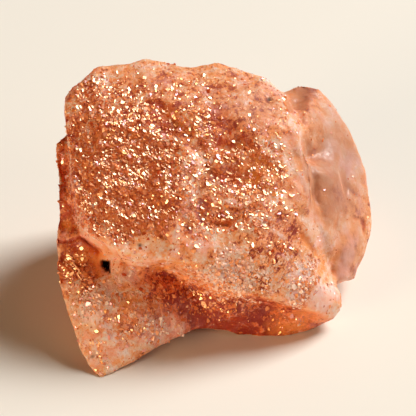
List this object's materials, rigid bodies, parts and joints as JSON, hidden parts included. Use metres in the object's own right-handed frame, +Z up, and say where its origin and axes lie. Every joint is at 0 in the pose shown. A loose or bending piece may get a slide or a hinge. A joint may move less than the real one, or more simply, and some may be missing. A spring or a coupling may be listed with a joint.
{
  "type": "rough sunstone",
  "caption": "Rough sunstone: a broken lump of orange feldspar with a broad glittering face, a ledge, a foot it rests on and a lobe behind. A display or display-case specimen.",
  "frame": {"origin": "middle of the bounding box in X and Y, at the flat face the stone rests on", "axes": "+Z up as it rests; +X to the right as the broad face is seen; -Y towards the viewer, the side the broad face leans back from"},
  "size_m": [0.039, 0.0352, 0.0274],
  "materials": {
    "sunstone": "broken feldspar, orange-brown and slightly see-through, with many tiny mirror-bright flakes inside it"
  },
  "bodies": {
    "root": {"sunstone": "sunstone"}
  },
  "joints": []
}
